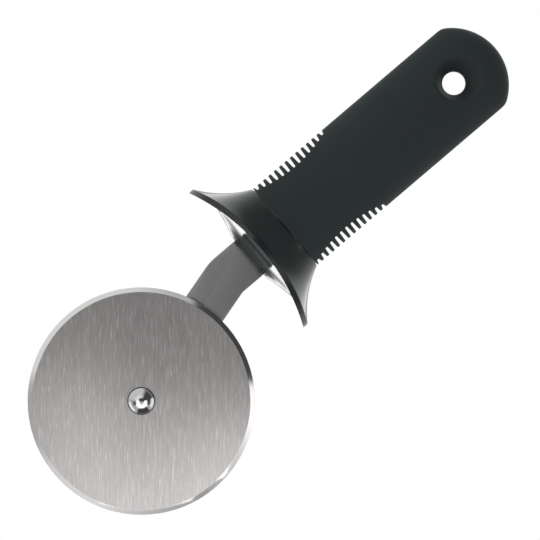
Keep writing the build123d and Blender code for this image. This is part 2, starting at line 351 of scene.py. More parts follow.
def turned(name, profile, steps=192, closed=True):
    """A solid turned about the axle. profile lists how far out and how far along Y: round
    the section once, or from the axle to the axle if it isn't closed."""
    profile = np.asarray(profile, float)
    angles = np.linspace(0, 2 * math.pi, steps, endpoint=False)
    out, along = profile[:, 0][:, None], profile[:, 1][:, None]
    points = np.stack(
        (
            AXLE[0] + out * np.cos(angles),
            along + 0 * angles,
            AXLE[2] + out * np.sin(angles),
        ),
        -1,
    )
    maker = Builder()
    maker.grid(points, close_rows=closed, close_columns=True)
    return maker.build(name)


def arris(corner, before, after, size, steps=3):
    """Rounds a corner of a profile: three or more points from the side before to after."""
    corner, before, after = (np.array(p, float) for p in (corner, before, after))
    first = corner + (before - corner) / np.linalg.norm(before - corner) * size
    last = corner + (after - corner) / np.linalg.norm(after - corner) * size
    return [first, *bezier(first, corner, last, steps), last]


def rounded_section(corners, size, steps=3):
    """A closed profile with every corner rounded alike."""
    points = []
    for index, corner in enumerate(corners):
        before, after = corners[index - 1], corners[(index + 1) % len(corners)]
        points += arris(corner, before, after, size, steps)
    return points


# Shader node groups and materials

# Noise for brushed lines: grains to a metre along a line and across it, detail and offset
FINE_LINES = (110.0, 4200.0, 3.0, 0.0)
MEDIUM_LINES = (120.0, 2300.0, 2.0, 3.1)
RARE_LINES = (160.0, 2700.0, 1.0, 7.7)
BROAD_BANDS = (14.0, 45.0, 2.0, 5.3)
LINE_ROUGHNESS = 0.6
# The fine lines count less than the medium ones, and their sum is brought back to 0..1
FINE_WEIGHT, LINE_WEIGHT = 0.5, 0.6667
# The noise from which a rare line starts to be a scratch and is a full one, and its depth
SCRATCH_FROM, SCRATCH_FULL, SCRATCH_DEPTH = 0.57, 0.74, 0.3
SKIN_DETAIL = 3.0
STEEL_RELIEF, MOULDING_RELIEF = 0.02 * MM, 0.05 * MM
BEARING_BLACK = (0.030, 0.031, 0.032)
CORE_BLACK = (0.05, 0.05, 0.05)
PLAIN_GREY = (0.5, 0.5, 0.51)
# Which sockets of a Mix node take its two values and give the result
MIX_SOCKETS = {"FLOAT": (2, 3, 0), "RGBA": (6, 7, 2)}


def feed(tree, socket, value):
    """Links another node's output to an input, or sets the input to a value."""
    if isinstance(value, bpy.types.NodeSocket):
        tree.links.new(value, socket)
    else:
        socket.default_value = value


def given(tree, made, **values):
    """Feeds a node's inputs by their names, with underscores for spaces. Any other name is
    one of the node's own settings."""
    for key, value in values.items():
        name = key.replace("_", " ")
        if name in made.inputs:
            feed(tree, made.inputs[name], value)
        else:
            setattr(made, key, value)
    return made


def node(tree, kind, **values):
    """Adds a shader node with its inputs and settings."""
    return given(tree, tree.nodes.new("ShaderNode" + kind), **values)


def math_node(tree, operation, *values, kind="Math"):
    """A Math or Vector Math node fed in order by sockets or values."""
    made = node(tree, kind, operation=operation)
    for socket, value in zip(made.inputs, values):
        feed(tree, socket, value)
    return made.outputs[0]


def mix(tree, kind, mask, first, second):
    """Goes by a mask from a first number or colour to a second."""
    made = node(tree, "Mix", data_type=kind, Factor=mask)
    before, after, result = MIX_SOCKETS[kind]
    feed(tree, made.inputs[before], first)
    feed(tree, made.inputs[after], second)
    return made.outputs[result]


def toned(tree, mask, base, spread):
    """A base colour, darker where the mask is low and lighter where it is high."""
    dark, light = (
        (*(min(1.0, part * factor) for part in base), 1)
        for factor in (1 - spread, 1 + spread)
    )
    return mix(tree, "RGBA", mask, dark, light)


def between(tree, mask, low, high):
    """Maps a mask from 0..1 to a number from low to high."""
    return node(tree, "MapRange", Value=mask, To_Min=low, To_Max=high).outputs[0]


def bumped(tree, height, distance, strength):
    """The normal of a surface that a height embosses."""
    return node(tree, "Bump", Height=height, Distance=distance, Strength=strength).outputs[0]


def new_group(name, inputs, outputs):
    """An empty shader node group that takes a vector and named numbers, and gives numbers."""
    tree = bpy.data.node_groups.new(name, "ShaderNodeTree")
    tree.interface.new_socket("Vector", in_out="INPUT", socket_type="NodeSocketVector")
    for way, sockets in (("INPUT", inputs), ("OUTPUT", outputs)):
        for socket in sockets:
            tree.interface.new_socket(socket, in_out=way, socket_type="NodeSocketFloat")
    return tree, tree.nodes.new("NodeGroupInput"), tree.nodes.new("NodeGroupOutput")


def brushed_lines_group():
    """Fine straight lines: noise stretched along X at two finenesses, with rarer long
    scratches cut into them and a broad unevenness beside them. Gives a height for bump, a
    streak mask and a broad mask."""
    tree, start, end = new_group(
        "brushed_lines", ("Fineness", "Long scratches"), ("Height", "Streaks", "Broad")
    )
    scaled = node(
        tree,
        "VectorMath",
        operation="SCALE",
        Vector=start.outputs["Vector"],
        Scale=start.outputs["Fineness"],
    ).outputs[0]

    def stretched(along, across, detail, offset):
        """Noise with fewer grains to a metre along X than across it."""
        place = node(
            tree,
            "Mapping",
            Vector=scaled,
            Location=(offset, offset, 0),
            Scale=(along, across, across),
        ).outputs[0]
        return node(
            tree,
            "TexNoise",
            Vector=place,
            Scale=1.0,
            Detail=detail,
            Roughness=LINE_ROUGHNESS,
        ).outputs["Fac"]

    def times(first, second):
        return math_node(tree, "MULTIPLY", first, second)

    rare = stretched(*RARE_LINES)
    scratch = node(
        tree, "MapRange", Value=rare, From_Min=SCRATCH_FROM, From_Max=SCRATCH_FULL
    ).outputs[0]
    weighed = times(scratch, start.outputs["Long scratches"])
    fine = times(stretched(*FINE_LINES), FINE_WEIGHT)
    both = math_node(tree, "ADD", fine, stretched(*MEDIUM_LINES))
    lines = times(both, LINE_WEIGHT)
    given(
        tree,
        end,
        Height=math_node(tree, "SUBTRACT", lines, times(weighed, SCRATCH_DEPTH)),
        Streaks=math_node(tree, "ADD", lines, weighed),
        Broad=stretched(*BROAD_BANDS),
    )
    return tree


def moulded_skin_group():
    """The skin of a moulding: fine grain over slow unevenness. Gives a height and a mask."""
    tree, start, end = new_group(
        "moulded_skin", ("Grain", "Unevenness"), ("Height", "Mottle")
    )
    for scale, roughness, result in (
        ("Grain", 0.55, "Height"),
        ("Unevenness", 0.5, "Mottle"),
    ):
        noise = node(
            tree,
            "TexNoise",
            Vector=start.outputs["Vector"],
            Scale=start.outputs[scale],
            Detail=SKIN_DETAIL,
            Roughness=roughness,
        )
        feed(tree, end.inputs[result], noise.outputs["Fac"])
    return tree


def new_material(name):
    """A material with its tree, its Principled shader and its object coordinates."""
    material = bpy.data.materials.new(name)
    material.use_nodes = True
    tree = material.node_tree
    tree.nodes.clear()
    shader = node(tree, "BsdfPrincipled")
    node(tree, "OutputMaterial", Surface=shader.outputs[0])
    return material, tree, shader, node(tree, "TexCoord").outputs["Object"]


def steel(name, base, turn, roughness, contrast, bump, fineness=1.0, scratches=0.5):
    """Brushed metal: lines lie along the turned X axis, and lighten, roughen and emboss it."""
    material, tree, shader, place = new_material(name)
    lines = node(
        tree,
        "Group",
        node_tree=bpy.data.node_groups.get("brushed_lines") or brushed_lines_group(),
        Vector=node(tree, "Mapping", Vector=place, Rotation=(0, turn, 0)).outputs[0],
        Fineness=fineness,
        Long_scratches=scratches,
    )
    streaks = lines.outputs["Streaks"]
    uneven = math_node(tree, "ADD", streaks, lines.outputs["Broad"])
    given(
        tree,
        shader,
        Base_Color=toned(tree, streaks, base, contrast),
        Metallic=1.0,
        Roughness=between(tree, math_node(tree, "MULTIPLY", uneven, 0.5), *roughness),
        Normal=bumped(tree, lines.outputs["Height"], STEEL_RELIEF, bump),
    )
    return material


def moulding(name, base, grain, unevenness, roughness, spread, bump, **values):
    """Moulded rubber or plastic: grain embosses it, unevenness shifts tone and gloss. Any
    other values are the shader's own."""
    material, tree, shader, place = new_material(name)
    skin = node(
        tree,
        "Group",
        node_tree=bpy.data.node_groups.get("moulded_skin") or moulded_skin_group(),
        Vector=place,
        Grain=grain,
        Unevenness=unevenness,
    )
    mottle = skin.outputs["Mottle"]
    given(
        tree,
        shader,
        Base_Color=toned(tree, mottle, base, spread),
        Roughness=between(tree, mottle, *roughness),
        Normal=bumped(tree, skin.outputs["Height"], MOULDING_RELIEF, bump),
        **values,
    )
    return material


def ground_bevel(material, sizes):
    """Beyond the bevel's inner edge, a brighter colour and a finer ground finish: the mask
    is one where the way from the axle, without its part along Y, is longer than that."""
    tree = material.node_tree
    shader = tree.nodes["Principled BSDF"]
    place = node(tree, "TexCoord").outputs["Object"]
    centred = math_node(tree, "SUBTRACT", place, tuple(AXLE), kind="VectorMath")
    flat = math_node(tree, "MULTIPLY", centred, (1, 0, 1), kind="VectorMath")
    reach = node(tree, "VectorMath", operation="LENGTH", Vector=flat).outputs["Value"]
    inner_edge = (BLADE_HIGH.x - BLADE_LOW.x) / 2 - sizes.bevel
    mask = math_node(tree, "GREATER_THAN", reach, inner_edge)
    for name, kind, ground in (
        ("Base Color", "RGBA", (*sizes.ground, 1)),
        ("Roughness", "FLOAT", sizes.ground_roughness),
    ):
        socket = shader.inputs[name]
        brushed = socket.links[0].from_socket
        feed(tree, socket, mix(tree, kind, mask, brushed, ground))


def bearing_plastic():
    """The dark plastic of the bush and the two bearing washers, made once."""
    return bpy.data.materials.get("bearing_plastic") or moulding(
        "bearing_plastic",
        BEARING_BLACK,
        grain=2400.0,
        unevenness=90.0,
        roughness=(0.35, 0.45),
        spread=0.05,
        bump=0.08,
    )


def plain_steel():
    """The plain steel of the rear washer and the cross pins, made once."""
    return bpy.data.materials.get("hardware_steel") or steel(
        "hardware_steel",
        PLAIN_GREY,
        turn=0.0,
        roughness=(0.25, 0.35),
        contrast=0.05,
        bump=0.1,
    )


# The soft grip

# Steps of the grip's grid across each round floor or tip and each wall of a slot
ROUND_STEPS, WALL_STEPS = 5, 4
# Shares of a fin's rounding: the least gap to the end rows, and where the fins' rows end
# above the last slot
ROW_GAP_SHARE, TOP_SHARE = 0.2, 2.4
# The least length of a fin, and the least half width at the very end
LEAST_FIN, LEAST_HALF = 0.5 * MM, 0.001 * MM
# Stations of a ray from the hang hole: in the throat, on the funnel, round the lip, outside
THROAT_STEPS, FUNNEL_STEPS, LIP_STEPS, FACE_STEPS = 3, 13, 7, 52
# Shares of the half land and of the lip, where the straight stretches end
LAND_SHARE, THROAT_SHARE, LIP_SHARE = 0.62, 0.3, 0.55
# How many times the depth of the funnel the search for its mouth goes out
MOUTH_REACH = 1.6


def slot_profile(sizes, z):
    """How far out the grip's side reaches at each height, from the waist arc's floor to the
    full half width: round floors, slightly leaning walls and round fin tips."""
    half = GRIP_HIGH.x
    floor_half, mouth_half = sizes.slot_floor / 2, sizes.slot_mouth / 2
    first = SEAM + sizes.end_fin + mouth_half
    index = np.clip(np.round((z - first) / sizes.slot_pitch), 0, sizes.slot_count - 1)
    away = np.abs(z - first - index * sizes.slot_pitch)
    floor = waist_half(sizes, first + index * sizes.slot_pitch)
    inside = np.clip(away, 0, floor_half)
    bottom = floor + floor_half - np.sqrt(floor_half**2 - inside**2)
    tip = sizes.fin_round
    wall = floor + floor_half + (away - floor_half) / (mouth_half - floor_half) * (
        half - tip - floor - floor_half
    )
    onto_tip = np.clip((away - mouth_half) / tip, 0, 1)
    crown = half - tip + tip * np.sqrt(np.clip(1 - (1 - onto_tip) ** 2, 0, 1))
    return np.where(away < floor_half, bottom, np.where(away < mouth_half, wall, crown))


def waist_half(sizes, z):
    """The half width of the slot floors: an arc, narrowest midway down the fins."""
    middle = SEAM + sizes.slot_pitch * sizes.slot_count / 2
    drop = z - middle
    arc = sizes.waist_radius - np.sqrt(np.maximum(sizes.waist_radius**2 - drop**2, 0))
    return sizes.waist_width / 2 + arc


def grip_depth(sizes, z):
    """The grip's half depth below the dome, smooth through five stations."""
    base = GRIP_HIGH.z - sizes.dome_height
    span = base - SEAM
    knots = [
        SEAM,
        base - sizes.waist_share * span,
        base - sizes.belly_share * span,
        base - sizes.upper_share * span,
        base,
    ]
    halves = [
        sizes.depth_seam / 2,
        sizes.depth_waist / 2,
        sizes.depth_belly / 2,
        (sizes.depth_belly + sizes.depth_end) / 4,
        sizes.depth_end / 2,
    ]
    return smooth_through(knots, halves, np.minimum(z, base))


def end_half(sizes, z):
    """The grip's half width above the fins: straight sides and an arc round the end, softly
    joined where they cross."""
    up = np.maximum(z - GRIP_HIGH.z + sizes.end_radius, 0)
    arc = np.sqrt(np.maximum(sizes.end_radius**2 - up**2, 0))
    near = np.maximum(1 - np.abs(GRIP_HIGH.x - arc) / sizes.end_corner, 0)
    return np.minimum(GRIP_HIGH.x, arc) - near**2 * sizes.end_corner / 4


def grip_surface(sizes, x, z):
    """How far the grip's front stands out at a place: oval sections as wide as the outline,
    whose depth closes to nothing up the dome."""
    base = GRIP_HIGH.z - sizes.dome_height
    up = np.maximum(z - base, 0) / sizes.dome_height
    across = x / np.maximum(end_half(sizes, z), LEAST_HALF)
    room = (1 - across**2) * (1 - up**2)
    return grip_depth(sizes, z) * np.sqrt(np.maximum(room, 0))


def fin_heights(sizes, top):
    """Heights of the grid's rows down the fins: close together at each floor, wall and tip."""
    floor_half, mouth_half = sizes.slot_floor / 2, sizes.slot_mouth / 2
    tip = sizes.fin_round
    turn = np.linspace(0, math.pi / 2, ROUND_STEPS + 1)
    floors = floor_half * np.sin(turn)
    walls = np.linspace(floor_half, mouth_half, WALL_STEPS + 1)[1:]
    tips = mouth_half + tip * (1 - np.cos(turn[1:]))
    away = np.concatenate((floors, walls, tips))
    away = np.concatenate((-away[:0:-1], away))
    first = SEAM + sizes.end_fin + mouth_half
    centres = first + sizes.slot_pitch * np.arange(sizes.slot_count)
    rows = (centres[:, None] + away[None, :]).ravel()
    gap = tip * ROW_GAP_SHARE
    rows = rows[(rows > SEAM + gap) & (rows < top - gap)]
    return np.concatenate(([top], np.sort(rows)[::-1], [SEAM]))


def fin_ring(sizes, z, front, side):
    """The front half of the grip's outline at each height, from the left middle line to the
    right one. Each row has the face's points between the floors' two corners, at even
    angles, and the sides' points, which move out from the floor by the slot profile."""
    half = GRIP_HIGH.x
    depth = grip_depth(sizes, z)[:, None]
    corner = np.minimum(waist_half(sizes, z), half - LEAST_FIN)[:, None]
    reach = np.clip(slot_profile(sizes, z)[:, None], corner, half)
    rise = (reach - corner) / (half - corner)
    corner_depth = depth * np.sqrt(1 - (corner / half) ** 2)
    turn = np.linspace(0, math.pi / 2, side + 1)[None, :]
    side_y = corner_depth * np.cos(turn)
    oval_x = half * np.sqrt(np.maximum(1 - (side_y / depth) ** 2, 0))
    side_x = corner + (oval_x - corner) * rise
    angle = np.arcsin(corner / half) * np.linspace(-1, 1, front + 1)[None, :]
    face_x, face_y = half * np.sin(angle), depth * np.cos(angle)
    x = np.concatenate((-side_x[:, ::-1], face_x[:, 1:-1], side_x), 1)
    y = np.concatenate((side_y[:, ::-1], face_y[:, 1:-1], side_y), 1)
    return np.stack((x, -y, np.broadcast_to(z[:, None], x.shape)), -1)


def hole_patch(sizes, joint_row, up_side=22, dome=84):
    """The front half of the grip's upper part, on rays from the hang hole's centre to its
    outline. Each ray has the hole's land, the skewed funnel's straight wall, a round lip and
    the oval surface out to the middle line or down to the fins' first row."""
    half = GRIP_HIGH.x
    base = GRIP_HIGH.z - sizes.dome_height
    top = joint_row[0, 2]
    side_z = np.linspace(top, base, up_side + 1)[1:]
    low = GRIP_HIGH.z - sizes.end_radius
    widest = math.acos((base - low) / sizes.end_radius)
    turn = np.linspace(widest, -widest, dome + 1)[1:]
    right = np.stack((np.full(up_side, half), side_z), -1)
    crown_z = low + sizes.end_radius * np.cos(turn)
    crown = np.stack((np.sign(turn) * end_half(sizes, crown_z), crown_z), -1)
    left = np.stack((np.full(up_side, -half), side_z), -1)[::-1]
    bounds = np.concatenate((joint_row[:, (0, 2)], right, crown, left[1:]))
    rim = np.hypot(bounds[:, 0], bounds[:, 1])
    ray_x, ray_z = bounds[:, 0] / rim, bounds[:, 1] / rim
    land = sizes.land / 2
    rise = sizes.depth_end / 2 - land
    lip = sizes.lip

    def funnel(depth):
        """The skewed cone's reach along each ray at a depth: its circle widens and its
        centre leans to the grip's end as it comes out."""
        share_out = (depth - land) / rise
        circle = HOLE_RADIUS + (sizes.funnel / 2 - HOLE_RADIUS) * share_out
        lean = sizes.funnel_offset * share_out
        return lean * ray_z + np.sqrt(circle**2 - (lean * ray_x) ** 2)

    def off_surface(depth):
        """How far in front of the grip's surface the funnel's place is."""
        reach = funnel(depth)
        return depth - grip_surface(sizes, reach * ray_x, reach * ray_z)

    ones = np.ones_like(ray_x)
    mouth = settle(off_surface, land * ones, MOUTH_REACH * rise * ones + land)
    mouth_reach = funnel(mouth)

    def station(reach, depth):
        """One place on every ray: how far out, and how far in front of the middle."""
        return np.stack((reach * ones, depth * ones), -1)

    def on_surface(reach):
        return station(reach, grip_surface(sizes, reach * ray_x, reach * ray_z))

    def on_funnel(depth):
        return station(funnel(depth), depth)

    inner, corner = station(HOLE_RADIUS, LAND_SHARE * land), station(HOLE_RADIUS, land)
    wall_start, wall_end = land + THROAT_SHARE * lip, mouth - LIP_SHARE * lip
    throat, under_lip = on_funnel(wall_start), on_funnel(wall_end)
    over_lip = on_surface(mouth_reach + lip)
    stations = [station(HOLE_RADIUS, 0), inner]
    stations += [*bezier(inner, corner, throat, THROAT_STEPS), throat]
    for part in np.linspace(0, 1, FUNNEL_STEPS + 1)[1:]:
        stations.append(on_funnel(wall_start + (wall_end - wall_start) * part))
    stations += [*bezier(under_lip, on_funnel(mouth), over_lip, LIP_STEPS)]
    for part in np.linspace(0, 1, FACE_STEPS):
        out = np.sin(part * math.pi / 2)
        stations.append(on_surface(mouth_reach + lip + (rim - mouth_reach - lip) * out))
    stations[-1] = station(rim, grip_surface(sizes, bounds[:, 0], bounds[:, 1]))
    reach, depth = np.moveaxis(np.stack(stations, 1), -1, 0)
    points = np.stack((reach * ray_x[:, None], -depth, reach * ray_z[:, None]), -1)
    points[: len(joint_row), -1] = joint_row
    return points


def grip_piece(sizes, front=44, side=14):
    """The whole grip: rays round the hang hole above, rows of fins below, and their mirror
    behind, closed at the seam."""
    first = SEAM + sizes.end_fin + sizes.slot_mouth / 2
    highest = first + (sizes.slot_count - 1) * sizes.slot_pitch
    top = highest + sizes.slot_mouth / 2 + TOP_SHARE * sizes.fin_round
    rows = fin_heights(sizes, top)
    fins = fin_ring(sizes, rows, front, side)
    upper = hole_patch(sizes, fins[0])
    behind = np.array((1, -1, 1))
    maker = Builder()
    for flip in (False, True):
        turn = behind if flip else 1
        maker.grid(fins * turn, flip=flip)
        maker.grid(upper * turn, close_rows=True, flip=flip)
    last = fins[-1]
    ring = np.concatenate((last, (last * behind)[-2:0:-1]))
    maker.grid(np.stack((ring, ring * 0 + (0, 0, SEAM))), close_columns=True)
    return maker.build("grip_soft")


# The glossy guard

# The bell's width, depth and height at each oval section, as shares of the whole
BELL_WIDTH_SHARES = (0.425, 0.51, 0.61, 0.74, 0.88, 0.96, 0.985, 0.995, 1.0)
BELL_DEPTH_SHARES = (0.26, 0.285, 0.33, 0.385, 0.44, 0.515, 0.65, 0.84, 0.985)
BELL_HEIGHT_SHARES = (0.08, 0.18, 0.28, 0.40, 0.50, 0.60, 0.72, 0.85, 1.0)
# The tang's slot and the core's socket, which the grip and the arm hide
TANG_SLOT_HALF = 7.05 * MM
TANG_ROOM = 0.05 * MM
SOCKET_CORNER = 4.1 * MM
# The gap between the collar and the grip, and the least height of the neck's wall
SEAM_GAP, LEAST_WALL = 0.02 * MM, 0.02 * MM
# Where a flat wall's rings are, and how the underside's rings crowd to the rim
WALL_SHARES = (0, 0.04, 0.5, 0.96, 1)
CROWDING = 1.15
# How often the neck's upper ring is found again from the height at which it leaves the bell
NECK_ROUNDS = 4
TOP_EDGE_STEPS, LOW_EDGE_STEPS, JOIN_STEPS, FOOT_STEPS = 5, 3, 3, 7


def guard_flare(sizes, drop):
    """The guard's half width at a depth below its collar: an arc from the collar to the
    tips, turned by the flare's angle."""
    start, end = GRIP_HIGH.x, sizes.width / 2
    fall = sizes.drop - sizes.groove + arch_drop(sizes, end) - sizes.tip
    chord, lean = math.hypot(end - start, fall), math.atan2(end - start, fall)
    half_turn = math.radians(sizes.flare_turn) / 2
    radius = chord / 2 / math.sin(half_turn)
    tilt = lean - half_turn
    centre = start + radius * math.cos(tilt)
    level = -radius * math.sin(tilt)
    return centre - np.sqrt(np.maximum(radius**2 - (drop - level) ** 2, 0))


def arch_drop(sizes, x):
    """How far the rim's lower edge has bent down at a distance from the middle."""
    return sizes.arch_radius - np.sqrt(np.maximum(sizes.arch_radius**2 - x**2, 0))


def guard_top(sizes, x, y):
    """The height of the trumpet over a place: the depth at which its oval section, wider
    and deeper by the flare, goes through that place."""
    collar_x, collar_y = GRIP_HIGH.x, sizes.collar_depth / 2
    rim_top = sizes.drop - sizes.groove - sizes.rim
    at_rim = float(guard_flare(sizes, rim_top))
    widening = (sizes.depth / 2 - collar_y) / (at_rim - collar_x)

    def inside(drop):
        half = guard_flare(sizes, drop)
        depth = collar_y + widening * (half - collar_x)
        return 1 - (x / half) ** 2 - (y / depth) ** 2

    lowest = sizes.drop + float(arch_drop(sizes, sizes.width / 2)) + sizes.rim
    drop = settle(inside, np.zeros_like(x), np.full_like(x, lowest))
    return SEAM - sizes.groove - drop


def guard_under(sizes, x, y):
    """The height of the underside: the lower of the arch and the bell, softly joined. The
    bell's oval sections widen upwards, smooth through its shares."""
    arch = SEAM - sizes.drop - arch_drop(sizes, x)

    def inside(height):
        wide = smooth_through(BELL_HEIGHT_SHARES, BELL_WIDTH_SHARES, height)
        deep = smooth_through(BELL_HEIGHT_SHARES, BELL_DEPTH_SHARES, height)
        far = (2 * x / wide / sizes.bell_width) ** 2 + (2 * y / deep / sizes.depth) ** 2
        return 1 - far

    low = np.full_like(x, BELL_HEIGHT_SHARES[0])
    level = settle(inside, low, np.ones_like(x))
    bell = SEAM - sizes.drop - (1 - level) * sizes.neck_length
    soft = np.sqrt((arch - bell) ** 2 + sizes.blend**2)
    return (arch + bell - soft) / 2


def raised(plan, height):
    """A ring in plan, lifted to a height or to one height for each of its points."""
    heights = np.broadcast_to(height, (len(plan),))
    return np.concatenate((plan, heights[:, None]), 1)


def drawn_in(plan, size):
    """A ring in plan, moved towards the middle by a size."""
    reach = np.linalg.norm(plan, axis=1, keepdims=True)
    return plan * (1 - size / reach)


def steady(first, last):
    """Rings from first to last with extra ones near both ends, so that the flat wall
    between two roundings is shaded flat."""
    return [(1 - part) * first + part * last for part in WALL_SHARES]


def guard_piece(sizes, around=256, down=56, across=54):
    """The whole guard as one closed band of rings: from its socket over the seam's groove,
    down the flare, round the arched rim, in along the bell, down the neck and up the tang's
    slot to the socket again."""
    turn = np.linspace(0, 2 * math.pi, around, endpoint=False)
    collar_x, collar_y = GRIP_HIGH.x, sizes.collar_depth / 2
    aim = np.arctan2(collar_y * np.sin(turn), collar_x * np.cos(turn))

    def oval(half_x, half_y, power=2.0):
        """An oval ring in plan."""
        return np.stack(oval_ring(half_x, half_y, turn, power), -1)

    def cornered(half_x, half_y, corner):
        """A ring in plan with round corners, its points aimed as the collar's are."""
        return np.stack(cornered_ring(half_x, half_y, corner, aim), -1)

    def top(plan):
        """A ring in plan, lifted onto the trumpet."""
        return raised(plan, guard_top(sizes, plan[:, 0], plan[:, 1]))

    def under(plan):
        """A ring in plan, lifted onto the underside."""
        return raised(plan, guard_under(sizes, plan[:, 0], plan[:, 1]))

    end = SEAM - sizes.drop - sizes.neck_length
    shelf = SEAM - sizes.groove
    land = oval(collar_x - sizes.inset, collar_y - sizes.inset)
    collar = oval(collar_x, collar_y)
    rim = oval(sizes.width / 2, sizes.depth / 2, sizes.outline_power)
    near, near_low = drawn_in(rim, sizes.rim_round), drawn_in(rim, sizes.rim_break)
    rim_top, rim_low = top(rim), under(rim)
    wall_top = rim_top - np.array((0, 0, sizes.rim_round))
    wall_low = rim_low + np.array((0, 0, sizes.rim_break))
    half_x, half_y = sizes.neck_width / 2, sizes.neck_depth / 2
    rise = 0
    for _ in range(NECK_ROUNDS):
        join = cornered(half_x + rise, half_y + rise, sizes.neck_corner)
        rise = (under(join)[:, 2] - end) / sizes.neck_length * sizes.neck_taper
    join_out = drawn_in(join, -sizes.neck_join)
    foot = cornered(half_x, half_y, sizes.neck_corner)
    inner = sizes.neck_edge
    foot_in = cornered(half_x - inner, half_y - inner, sizes.neck_corner - inner)
    foot_top = end + inner
    join_z = np.maximum(under(join)[:, 2] - sizes.neck_join, foot_top + LEAST_WALL)
    join_low = raised(join, join_z)
    tang_slot = cornered(TANG_SLOT_HALF, ARM_HIGH.y + TANG_ROOM, TANG_ROOM)
    socket = cornered(CORE_HIGH.x + sizes.fit, CORE_HIGH.y + sizes.fit, SOCKET_CORNER)
    floor = CORE_LOW.z - sizes.fit
    rings = [raised(ring, SEAM - SEAM_GAP) for ring in (socket, land)]
    rings += [raised(ring, shelf) for ring in (land, collar)]
    for part in np.linspace(0, 1, down + 1)[1:]:
        rings.append(top((1 - part) * collar + part * near))
    rings += list(bezier(rings[-1], rim_top, wall_top, TOP_EDGE_STEPS))
    rings += steady(wall_top, wall_low)
    rings += list(bezier(rings[-1], rim_low, under(near_low), LOW_EDGE_STEPS))
    for part in np.linspace(0, 1, across) ** CROWDING:
        rings.append(under((1 - part) * near_low + part * join_out))
    rings += list(bezier(rings[-1], under(join), join_low, JOIN_STEPS))
    rings += steady(join_low, raised(foot, foot_top))
    rings += list(bezier(rings[-1], raised(foot, end), raised(foot_in, end), FOOT_STEPS))
    rings += [raised(ring, end) for ring in (foot_in, tang_slot)]
    rings += [raised(ring, floor) for ring in (tang_slot, socket)]
    maker = Builder()
    maker.grid(np.stack(rings), close_rows=True, close_columns=True)
    return maker.build("guard_moulding")


# The wheel, its rivet and washers, and the arm

BUSH_WALL = 1.5 * MM
ARM_WELD = 0.002 * MM
# Faces nearer than the first angle are merged, and edges sharper than the second rounded
ARM_FLAT_ANGLE, ARM_EDGE_ANGLE = math.radians(0.5), math.radians(40)
ARM_EDGE_STEPS = 3


def crown(half, base, height, steps=26):
    """The profile of a round cap from its middle out to its edge, on the side that height's
    sign gives."""
    tall = abs(height)
    radius = (half**2 + tall**2) / (2 * tall)
    turn = np.linspace(0, math.asin(half / radius), steps)
    out = radius * np.sin(turn)
    up = tall - radius * (1 - np.cos(turn))
    return np.stack((out, base + np.sign(height) * up), -1)


def blade_piece(sizes):
    """The wheel's disc: two flat faces, a ground bevel on each side and a thin edge."""
    rim = (BLADE_HIGH.x - BLADE_LOW.x) / 2
    hub = (BUSH_HIGH.x - BUSH_LOW.x) / 2 + sizes.hub_clearance
    front, back = BLADE_LOW.y, BLADE_HIGH.y
    middle, half = (front + back) / 2, sizes.edge / 2
    corners = [
        (hub, front),
        (rim - sizes.bevel, front),
        (rim, middle - half),
        (rim, middle + half),
        (rim - sizes.bevel, back),
        (hub, back),
    ]
    return turned("wheel_disc", rounded_section(corners, sizes.arris, 1), steps=360)


def ring_piece(name, bore, low, high, size, steps=96):
    """A flat washer or bush between the corners of its box, with its bore."""
    outer = (high.x - low.x) / 2
    corners = [(bore, low.y), (outer, low.y), (outer, high.y), (bore, high.y)]
    return turned(name, rounded_section(corners, size), steps)


def rivet_piece(sizes):
    """The rivet: a polished dome, its rim, the shank and the closed tail."""
    head = (RIVET_HIGH.x - RIVET_LOW.x) / 2
    tail, shank = sizes.tail_width / 2, sizes.shank_width / 2
    rim_base = FRONT_LOW.y - sizes.head_rim
    dome = crown(head - sizes.arris, rim_base, RIVET_LOW.y - rim_base)
    cap = crown(tail, REAR_HIGH.y, RIVET_HIGH.y - REAR_HIGH.y)
    rim = arris((head, rim_base), dome[-1], (head, FRONT_LOW.y), sizes.arris)
    profile = [*dome[:-1], *rim, (head, FRONT_LOW.y)]
    profile += [(shank, FRONT_LOW.y), (shank, REAR_HIGH.y), (tail, REAR_HIGH.y)]
    profile += list(cap[::-1][1:])
    return turned("rivet_polished", profile, closed=False)


def arm_piece(sizes):
    """The arm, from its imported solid, with flat faces merged and its edges rounded."""
    mesh = frame["nodes"]["arm"].data.copy()
    work = bmesh.new()
    work.from_mesh(mesh)
    bmesh.ops.remove_doubles(work, verts=work.verts, dist=ARM_WELD)
    bmesh.ops.dissolve_limit(
        work, angle_limit=ARM_FLAT_ANGLE, verts=work.verts, edges=work.edges
    )
    bmesh.ops.recalc_face_normals(work, faces=work.faces)
    work.to_mesh(mesh)
    work.free()
    piece = new_piece("arm_plate", mesh)
    edges = piece.modifiers.new("edges", "BEVEL")
    edges.width = sizes.arm_round
    edges.segments = ARM_EDGE_STEPS
    edges.limit_method = "ANGLE"
    edges.angle_limit = ARM_EDGE_ANGLE
    edges.harden_normals = True
    return shade(piece)


# The stage

# The camera's sensor in millimetres, and how far it sees in metres
SENSOR_WIDTH, CLIP_END = 36.0, 20.0
# Each lamp's place in metres from the picture's centre, across, above and towards the
# camera, then its width, its height and its power in watts
LAMPS = (
    ("left_lamp", (-0.1000, -0.0925, 0.125), 0.046, 0.083, 0.0098),
    ("mid_lamp", (-0.0530, -0.1000, 0.125), 0.048, 0.068, 0.0042),
    ("right_lamp", (-0.0035, -0.1035, 0.125), 0.049, 0.061, 0.0122),
    ("low_lamp", (-0.0550, -0.1340, 0.124), 0.086, 0.046, 0.0110),
)
# The room round the object, in degrees off the axis from the object to the camera, and
# round that axis on a clock that goes from the picture's right by way of its top. The
# handle lies along one line of that clock.
HANDLE_UP = 40.4
HANDLE_DOWN = HANDLE_UP - 180
